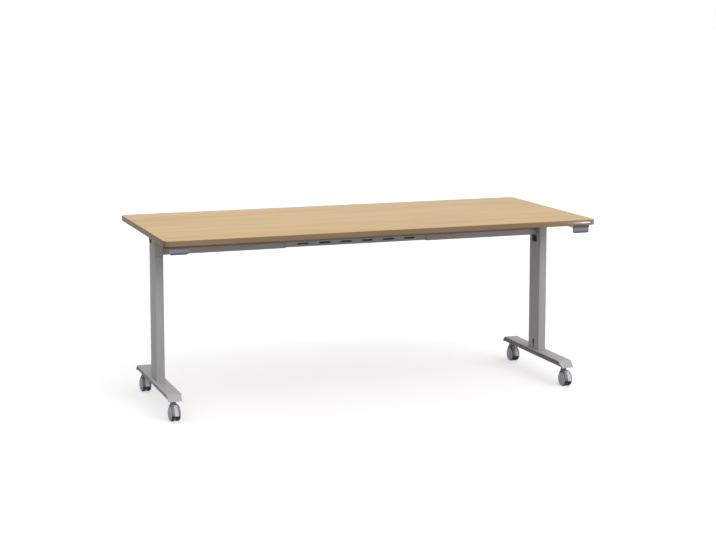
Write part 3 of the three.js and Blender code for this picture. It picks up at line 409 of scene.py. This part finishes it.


# Painted shade and painted shadow as greys by height, the edge band's shine from left to right, and the finishes
# painted shade on the feet's upright faces: dark skirts and a painted shadow line under the top plate's edge
FOOT_PAINTED_SHADE = [(0.0805, 0.6), (0.094, 0.5), (0.1, 0.34), (0.1016, 0.4), (0.1022, 0.85)]
# painted shadow of the board on the upper part of the beams' upright faces
BEAM_PAINTED_SHADOW = [(0.63, 1), (0.633, 0.55), (0.648, 0.55)]
EDGE_SHINE = (0.01, 0.3, 0.6, 0.85)
# painted shade on the lower lip of the release levers
LEVER_PAINTED_SHADE = [(0.665, 0.4), (0.671, 0.5), (0.676, 1), (0.69, 1)]
FINISHES = {
    "oak_laminate": oak("oak_laminate", (0.53, 0.34, 0.152), (0.67, 0.456, 0.22), (0.77, 0.545, 0.283), 0.5),
    "oak_edge": oak("oak_edge", (0.232, 0.16, 0.099), (0.296, 0.206, 0.129), (0.36, 0.257, 0.165), 0.1,
                    EDGE_SHINE),
    "silver_paint": powder_coat("silver_paint", (0.45, 0.445, 0.45), 0.1, 0.5),
    # painted shade on the walls of the cable cover's holes
    "cover_paint_painted_shade": powder_coat("cover_paint_painted_shade", (0.48, 0.475, 0.48), 0.1, 0.5, painted_hole_shade=0.1),
    # the beams' paint carries a painted shadow of the board along its top
    "beam_paint_painted_shadow": powder_coat("beam_paint_painted_shadow", (0.45, 0.445, 0.45), 0.1, 0.5, BEAM_PAINTED_SHADOW),
    # the feet's paint carries painted shade on its skirts
    "foot_paint_painted_shade": powder_coat("foot_paint_painted_shade", (0.49, 0.485, 0.49), 0.1, 0.5, FOOT_PAINTED_SHADE),
    "cast_head": powder_coat("cast_head", (0.44, 0.435, 0.44), 0.1, 0.52),
    # dark grey paint on the hinge brackets and lever housings, kept this dark partly as painted shade for the
    # shadowed strip above the levers
    "bracket_paint": powder_coat("bracket_paint", (0.2, 0.197, 0.2), 0.1, 0.52),
    "bright_steel": plated("bright_steel", (0.62, 0.62, 0.64), 0.3),
    "black_rubber": moulded("black_rubber", (0.025, 0.025, 0.028), 0.8, 0.3),
    "grey_plastic": moulded("grey_plastic", (0.42, 0.408, 0.485), 0.5),
    # the levers' plastic carries painted shade on its lower lip
    "lever_plastic_painted_shade": moulded("lever_plastic_painted_shade", (0.265, 0.268, 0.345), 0.5, shade=LEVER_PAINTED_SHADE),
    "dark_plastic": moulded("dark_plastic", (0.24, 0.235, 0.265), 0.48),
    "pedal_plastic": moulded("pedal_plastic", (0.58, 0.57, 0.62), 0.42),
    "tread_rubber": moulded("tread_rubber", (0.02, 0.02, 0.024), 0.75, 0.25),
}


def smoothing():
    """A node group that welds a solid's faces and shades its shallow edges smooth."""
    group = bpy.data.node_groups.new("smooth_shading", "GeometryNodeTree")
    group.interface.new_socket("Geometry", in_out="INPUT", socket_type="NodeSocketGeometry")
    group.interface.new_socket("Geometry", in_out="OUTPUT", socket_type="NodeSocketGeometry")
    nodes, links = group.nodes, group.links
    start = nodes.new("NodeGroupInput")
    end = nodes.new("NodeGroupOutput")
    weld = nodes.new("GeometryNodeMergeByDistance")
    weld.inputs["Distance"].default_value = WELD_DISTANCE
    faces = nodes.new("GeometryNodeSetShadeSmooth")
    faces.domain = "FACE"
    edges = nodes.new("GeometryNodeSetShadeSmooth")
    edges.domain = "EDGE"
    edges.inputs["Shade Smooth"].default_value = False
    angle = nodes.new("GeometryNodeInputMeshEdgeAngle")
    sharp = nodes.new("FunctionNodeCompare")
    sharp.data_type = "FLOAT"
    sharp.operation = "GREATER_THAN"
    sharp.inputs["B"].default_value = SMOOTH_ANGLE
    links.new(angle.outputs["Unsigned Angle"], sharp.inputs["A"])
    links.new(start.outputs[0], weld.inputs["Geometry"])
    links.new(weld.outputs[0], faces.inputs["Geometry"])
    links.new(faces.outputs[0], edges.inputs["Geometry"])
    links.new(sharp.outputs[0], edges.inputs["Selection"])
    links.new(edges.outputs[0], end.inputs[0])
    return group


# own finishes that carry painted shade: on the feet, the cover's holes and the levers, and a painted shadow on the
# beams
OWN_FINISH = {
    "foot": "foot_paint_painted_shade",
    "cable_cover": "cover_paint_painted_shade",
    "beam_rail": "beam_paint_painted_shadow",
    "beam_centre": "beam_paint_painted_shadow",
    "release_lever": "lever_plastic_painted_shade",
}


def dress_nodes():
    """Gives every solid its slot's finish or its own, which carries painted shade, smooth round faces and softened
    edges.
    """
    group = smoothing()
    for row in frame["record"]["subparts"]:
        node = NODES[row["node"]]
        kind = row["node"].removeprefix("left_").removeprefix("right_")
        node.data.materials.clear()
        node.data.materials.append(FINISHES[OWN_FINISH.get(kind, row["material_slot"])])
        weld = node.modifiers.new("weld", "WELD")
        weld.merge_threshold = WELD_DISTANCE
        flat = node.modifiers.new("flat_faces", "DECIMATE")
        flat.decimate_type = "DISSOLVE"
        flat.angle_limit = FLAT_ANGLE
        bevel(node, EDGE_SOFTENING)
        modifier = node.modifiers.new("smooth_shading", "NODES")
        modifier.node_group = group


def add_piece(name, mesh, body, slot, replaced=()):
    """A finished mesh that rides on a body and takes a slot's finish."""
    piece = bpy.data.objects.new(name, mesh)
    bpy.context.scene.collection.objects.link(piece)
    mesh.materials.append(FINISHES[slot])
    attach(piece, body)
    for node in replaced:
        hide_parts(node)
    return piece


def mesh_of(name, work):
    """The finished mesh, with smooth faces between its sharp edges."""
    bmesh.ops.recalc_face_normals(work, faces=work.faces)
    mesh = bpy.data.meshes.new(name)
    work.to_mesh(mesh)
    work.free()
    for face in mesh.polygons:
        face.use_smooth = True
    mesh.set_sharp_from_angle(angle=SMOOTH_ANGLE)
    return mesh


def loft(name, rings, capped_start=True, ring_loop=False):
    """A skin through rings of points; the ends are capped, or the last ring joins the first."""
    work = bmesh.new()
    rows = [[work.verts.new(p) for p in ring] for ring in rings]
    pairs = list(zip(rows, rows[1:]))
    if ring_loop:
        pairs.append((rows[-1], rows[0]))
    for low, high in pairs:
        count = len(low)
        for i in range(count):
            j = (i + 1) % count
            work.faces.new((low[i], low[j], high[j], high[i]))
    if capped_start and not ring_loop:
        work.faces.new(reversed(rows[0]))
    if not ring_loop:
        work.faces.new(rows[-1])
    return mesh_of(name, work)


def turned(name, profile, centre, direction, sides=LATHE_SIDES):
    """Turns a profile of (radius, distance along direction) about an axis through centre."""
    along = Vector(direction).normalized()
    side = along.orthogonal().normalized()
    other = along.cross(side)
    work = bmesh.new()
    rows = []
    for radius, distance in profile:
        middle = Vector(centre) + along * distance
        if radius == 0:
            rows.append([work.verts.new(middle)])
            continue
        ring = []
        for i in range(sides):
            angle = 2 * math.pi * i / sides
            ring.append(work.verts.new(middle + (side * math.cos(angle) + other * math.sin(angle)) * radius))
        rows.append(ring)
    for low, high in zip(rows, rows[1:]):
        for i in range(sides):
            j = (i + 1) % sides
            corners = [low[i % len(low)], low[j % len(low)], high[j % len(high)], high[i % len(high)]]
            unique = list(dict.fromkeys(corners))
            if len(unique) > 2:
                work.faces.new(unique)
    return mesh_of(name, work)


def rectangle(x, y, z, half_depth, half_height):
    """Four corners of an upright rectangle that looks along x."""
    signs = ((-1, -1), (1, -1), (1, 1), (-1, 1))
    return [Vector((x, y + j * half_depth, z + k * half_height)) for j, k in signs]


def bevel(piece, width):
    modifier = piece.modifiers.new("bevel", "BEVEL")
    modifier.width = width
    modifier.segments = BEVEL_SEGMENTS
    modifier.limit_method = "ANGLE"
    modifier.angle_limit = SMOOTH_ANGLE


# Board and edge band

CORNER_SIDES = 18
EDGE_ROUND = 2.6 * MM
BAND_INSETS = [2.05 * MM, 1.4 * MM, 0.8 * MM, 0.35 * MM, 0.08 * MM, 0]
BOARD_INSETS = [EDGE_ROUND, 2.1 * MM]
CORNER_RADIUS = 28 * MM


def rounded_ring(low, high, inset, z):
    """A rounded rectangle at height z, inset from the table top's outline."""
    radius = CORNER_RADIUS - inset
    ring = []
    for quarter, (sx, sy) in enumerate(((1, -1), (1, 1), (-1, 1), (-1, -1))):
        centre_x = (high.x if sx > 0 else low.x) - sx * CORNER_RADIUS
        centre_y = (high.y if sy > 0 else low.y) - sy * CORNER_RADIUS
        for step in range(CORNER_SIDES + 1):
            angle = (quarter - 1 + step / CORNER_SIDES) * math.pi / 2
            ring.append((centre_x + radius * math.cos(angle), centre_y + radius * math.sin(angle), z))
    return ring


def edge_rings(insets):
    """Rings up the rounded edge, from the underside to the worktop."""
    low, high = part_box("edge_band")
    rises = [EDGE_ROUND - math.sqrt(EDGE_ROUND ** 2 - (EDGE_ROUND - inset) ** 2) for inset in insets]
    levels = [(inset, low.z + rise) for inset, rise in zip(insets, rises)]
    levels += [(inset, high.z - rise) for inset, rise in zip(reversed(insets), reversed(rises))]
    return [rounded_ring(low, high, inset, z) for inset, z in levels]


def dress_top():
    band = loft("band", edge_rings(BAND_INSETS), ring_loop=True)
    add_piece("top_band", band, "top", "oak_edge", ["edge_band"])
    board = loft("board", edge_rings(BOARD_INSETS))
    add_piece("top_board", board, "top", "oak_laminate", ["table_top"])


# Casters

AXLE_TRAIL = 16 * MM
WHEEL_RADIUS = 30 * MM
WHEEL_START = 2.8 * MM
FENDER_INNER = 32.1 * MM
FENDER_OUTER = 35.6 * MM
FENDER_HALF = 15.5 * MM
FENDER_ANGLES = (math.radians(-5), math.radians(150))
FENDER_STEPS = 14
FENDER_DROOP = 0.6
FENDER_DROOP_POWER = 5
FENDER_SOFTENING = 0.8 * MM
WEB_OVERLAP = 1 * MM
WEB_HALF = 2.3 * MM
WEB_RADIUS = 23 * MM
NECK_LEVELS = [(30, 16), (24, 15.6), (18, 14.2), (12, 12.5), (8, 11.2), (6, 10.6), (1, 10.5), (0, 9.8)]
NECK_OVAL = 1.25
PEDAL_ANGLES = (math.radians(-1), math.radians(66))
PEDAL_INNER = 36.2 * MM
PEDAL_PLATE = 3 * MM
PEDAL_HALF = 7.5 * MM
PEDAL_TOE = 8 * MM
PEDAL_CURL = 3.2
PEDAL_TAPER = 0.16
PEDAL_THINNING = 0.25
PEDAL_EDGE = 0.9 * MM
PEDAL_SHOULDER = 1 * MM
PEDAL_CROWN = 0.3 * MM
TRUNNION_SIDES = 24
TRUNNION_RADIUS = 1.6 * MM
TRUNNION_HALF = 10.8 * MM
DISC_PROFILE = [
    (3.3, 12.2), (3.3, 0), (25.5, 0), (25.5, 12.9), (28.2, 12.9), (28.5, 13.3), (28.5, 14.0), (28.2, 14.9),
    (27.4, 15.9), (26.2, 16.8), (24.6, 17.3), (24.0, 17.0), (23.4, 17.0), (22.8, 17.6), (20.2, 18.5),
    (16.6, 19.4), (13.2, 20.1), (11.8, 20.3), (11.3, 19.8), (10.6, 19.8), (10.1, 20.5), (7.6, 20.9),
    (4.0, 21.2), (0, 21.3),
]
TYRE_PROFILE = [
    (25.8, 0.6), (28.4, 0.6), (29.3, 0.9), (29.8, 1.6), (30.0, 2.8), (30.0, 5.2), (29.7, 5.5), (29.7, 6.1),
    (30.0, 6.4), (30.0, 10.4), (29.8, 11.6), (29.3, 12.3), (28.4, 12.6), (25.8, 12.6), (25.8, 0.6),
]


def caster_wheels(caster, x, axle_y):
    """Two domed wheel discs with rim groove and cap ring, each with a grooved soft tread."""
    for wheel, way in SIDES.items():
        body = f"{caster.removesuffix('_caster')}_{wheel}_wheel"
        start = (x + way * WHEEL_START, axle_y, WHEEL_RADIUS)
        for part, profile, slot, node in (("disc", DISC_PROFILE, "grey_plastic", "wheel"),
                                          ("tyre", TYRE_PROFILE, "tread_rubber", "tread")):
            name = f"{caster}_{wheel}_{part}"
            mesh = turned(name, [(r * MM, a * MM) for r, a in profile], start, (way, 0, 0))
            add_piece(name, mesh, body, slot, [f"{caster}_{wheel}_{node}"])


def around_axle(x, axle_y, radius, angle):
    return (x, axle_y - radius * math.cos(angle), WHEEL_RADIUS + radius * math.sin(angle))


def steps(low, high, count):
    return [low + (high - low) * i / count for i in range(count + 1)]


def fender_section():
    """Half widths and radii round the fender: a crowned outside and a plain inside."""
    droop = (FENDER_OUTER - FENDER_INNER) * FENDER_DROOP
    outside = []
    for t in steps(-1, 1, FENDER_STEPS):
        outside.append((FENDER_HALF * t, FENDER_OUTER - droop * abs(t) ** FENDER_DROOP_POWER))
    return outside + [(FENDER_HALF, FENDER_INNER), (0, FENDER_INNER), (-FENDER_HALF, FENDER_INNER)]


def neck_rings(x, y, axle_y, top):
    """Oval rings from the fender's back up to the stem, clear of the wheels; the first is a closed seam."""
    rings = []
    for drop, radius in NECK_LEVELS:
        ring = []
        for i in range(LATHE_SIDES):
            angle = 2 * math.pi * i / LATHE_SIDES
            px = max(-FENDER_HALF, min(FENDER_HALF, radius * MM * math.cos(angle)))
            py = y + radius * NECK_OVAL * MM * math.sin(angle)
            reach = (FENDER_INNER + FENDER_OUTER) / 2
            floor = WHEEL_RADIUS + math.sqrt(max(0.0, reach ** 2 - (py - axle_y) ** 2))
            inside = abs(py - axle_y) < reach
            ring.append((x + px, py, max(top - drop * MM, floor) if inside else top - drop * MM))
        rings.append(ring)
    seam = [(x, py, pz) for _, py, pz in rings[0]]
    return [seam] + rings


def web_rings(x, axle_y):
    """The two sides of the plate between the wheels."""
    outline = [(FENDER_INNER + WEB_OVERLAP, a) for a in steps(*FENDER_ANGLES, ARC_SIDES)]
    outline += [(WEB_RADIUS, a) for a in steps(FENDER_ANGLES[1], FENDER_ANGLES[0] + 2 * math.pi, ARC_SIDES)]
    return [[around_axle(x + side * WEB_HALF, axle_y, r, a) for r, a in outline] for side in (-1, 1)]


def caster_hood(caster, x, y, axle_y):
    """Fender, swivel neck and web in one moulding."""
    section = fender_section()
    arc = steps(*FENDER_ANGLES, ARC_SIDES)
    fender = [[around_axle(x + px, axle_y, r, angle) for px, r in section] for angle in arc]
    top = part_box(f"{caster}_hood")[1].z
    neck = neck_rings(x, y, axle_y, top)
    for part, rings in (("fender", fender), ("neck", neck), ("web", web_rings(x, axle_y))):
        name = f"{caster}_{part}"
        mesh = loft(name, rings, capped_start=part != "neck")
        piece = add_piece(name, mesh, caster, "dark_plastic", [f"{caster}_hood"])
        if part == "fender":
            bevel(piece, FENDER_SOFTENING)


def caster_pedal(caster, x, axle_y):
    """A curved strip that curls outwards into a toe, with its two trunnions."""
    body = f"{caster.removesuffix('_caster')}_pedal"
    rings = []
    for i, angle in enumerate(steps(*PEDAL_ANGLES, ARC_SIDES)):
        share = i / ARC_SIDES
        curl = max(0, 1 - PEDAL_CURL * share)
        half = PEDAL_HALF * (1 - PEDAL_TAPER * share)
        inner = PEDAL_INNER + PEDAL_TOE * curl ** 2
        outer = inner + PEDAL_PLATE * (1 - PEDAL_THINNING * curl)
        ring = [(-half, inner), (-half, outer - PEDAL_EDGE), (-half + PEDAL_SHOULDER, outer),
                (0, outer + PEDAL_CROWN),
                (half - PEDAL_SHOULDER, outer), (half, outer - PEDAL_EDGE), (half, inner)]
        rings.append([around_axle(x + px, axle_y, r, angle) for px, r in ring])
    name = f"{caster}_pedal_strip"
    add_piece(name, loft(name, rings), body, "pedal_plastic", [f"{caster}_pedal"])
    hinge = around_axle(x, axle_y, PEDAL_INNER + PEDAL_PLATE / 2, PEDAL_ANGLES[1])
    name = f"{caster}_pedal_pin"
    profile = [(0, -TRUNNION_HALF), (TRUNNION_RADIUS, -TRUNNION_HALF),
               (TRUNNION_RADIUS, TRUNNION_HALF), (0, TRUNNION_HALF)]
    pin = turned(name, profile, hinge, (1, 0, 0), TRUNNION_SIDES)
    add_piece(name, pin, body, "pedal_plastic", [f"{caster}_pedal"])


def dress_casters():
    for side in SIDES:
        for end in ENDS:
            caster = f"{side}_{end}_caster"
            low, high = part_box(f"{caster}_stem")
            x, y = (low.x + high.x) / 2, (low.y + high.y) / 2
            axle_y = y - AXLE_TRAIL
            caster_wheels(caster, x, axle_y)
            caster_hood(caster, x, y, axle_y)
            caster_pedal(caster, x, axle_y)


# Cable slots, with painted shade behind them

SLOT_SHADE_SIZE = Vector((1, 22, 46)) * MM
SLOT_SHADE_DEPTH = 2.6 * MM
SLOT_SHADE_RISE = 26 * MM


def add_slot_shade_sheets():
    """A black sheet behind the holes near the foot of each cable cover: painted shade inside the column."""
    for side, way in SIDES.items():
        low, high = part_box(f"{side}_cable_cover")
        near = (low.x if way > 0 else high.x) + way * SLOT_SHADE_DEPTH
        y, z = (low.y + high.y) / 2, low.z + SLOT_SHADE_RISE
        rings = [rectangle(x, y, z, SLOT_SHADE_SIZE.y / 2, SLOT_SHADE_SIZE.z / 2)
                 for x in (near, near + way * SLOT_SHADE_SIZE.x)]
        name = f"{side}_slot_shade_sheet"
        add_piece(name, loft(name, rings), "frame", "black_rubber")


# Beam joints

COLLAR_LENGTH = 2.5 * MM
COLLAR_DROP = 0.3 * MM
COLLAR_WALL = 1.7 * MM


def dress_beam_joints():
    """A dark glide collar at the inner end of each beam rail."""
    for side, way in SIDES.items():
        low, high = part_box(f"{side}_beam_rail")
        start = low.x if way > 0 else high.x
        y, z = (low.y + high.y) / 2, (low.z + high.z) / 2
        outer = (high.z - low.z) / 2 - COLLAR_DROP
        inner = outer - COLLAR_WALL
        end = start - way * COLLAR_LENGTH
        rings = [rectangle(x, y, z, half, half)
                 for x, half in ((start, outer), (end, outer), (end, inner), (start, inner))]
        name = f"{side}_beam_collar"
        add_piece(name, loft(name, rings, ring_loop=True), "frame", "dark_plastic")


# Fasteners

SCREW_SIDES = 24
SCREW_HEIGHT = 0.55
SCREW_HEAD = [(1, 0), (1, 0.5), (0.92, 0.85), (0.78, 1)]
SOCKET_SIZE = 0.42
SOCKET_FLOOR = 0.3
DOWN = (0, 0, -1)
BRACKET_PLATE = 4 * MM
BRACKET_SCREW_RADIUS = 4 * MM
BRACKET_SCREW_END = 14 * MM
BRACKET_SCREW_MIDDLE = 72 * MM
BRACKET_SCREW_ASIDE = 30 * MM
BEAM_SCREW_RADIUS = 3.5 * MM
BEAM_SCREW_END = 14 * MM


def screw(name, place, way, radius, body):
    """A low round screw head with a hex socket."""
    along = Vector(way)
    side = along.orthogonal().normalized()
    other = along.cross(side)

    def ring(size, height, hexagon=False):
        points = []
        for i in range(SCREW_SIDES):
            angle = 2 * math.pi * i / SCREW_SIDES
            reach = size / math.cos((angle % (math.pi / 3)) - math.pi / 6) if hexagon else size
            outwards = side * math.cos(angle) + other * math.sin(angle)
            points.append(Vector(place) + along * height + outwards * reach)
        return points

    height = SCREW_HEIGHT * radius
    socket = SOCKET_SIZE * radius
    rings = [ring(size * radius, level * height) for size, level in SCREW_HEAD]
    rings += [ring(socket, level * height, True) for level in (1, SOCKET_FLOOR)]
    add_piece(name, loft(name, rings), body, "bright_steel")


def dress_fasteners():
    """Six screws in each hinge bracket and one under each beam rail."""
    for side, way in SIDES.items():
        low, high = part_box(f"{side}_hinge_bracket")
        middle = (low.x + high.x) / 2
        plate = high.z - BRACKET_PLATE
        lines = (low.y + BRACKET_SCREW_END, low.y + BRACKET_SCREW_MIDDLE, high.y - BRACKET_SCREW_END)
        for row, y in enumerate(lines):
            for column, aside in enumerate((-BRACKET_SCREW_ASIDE, BRACKET_SCREW_ASIDE)):
                name = f"{side}_bracket_screw_{row}{column}"
                screw(name, (middle + aside, y, plate), DOWN, BRACKET_SCREW_RADIUS, "top")
        low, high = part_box(f"{side}_beam_rail")
        joint = high.x - BEAM_SCREW_END if way < 0 else low.x + BEAM_SCREW_END
        middle = (low.y + high.y) / 2
        screw(f"{side}_beam_screw", (joint, middle, low.z), DOWN, BEAM_SCREW_RADIUS, "frame")


bpy.context.scene.view_settings.view_transform = "Standard"
make_camera()
make_world()
make_sun()
make_glint()
make_floor()
dress_nodes()
dress_top()
dress_casters()
add_slot_shade_sheets()
dress_beam_joints()
dress_fasteners()
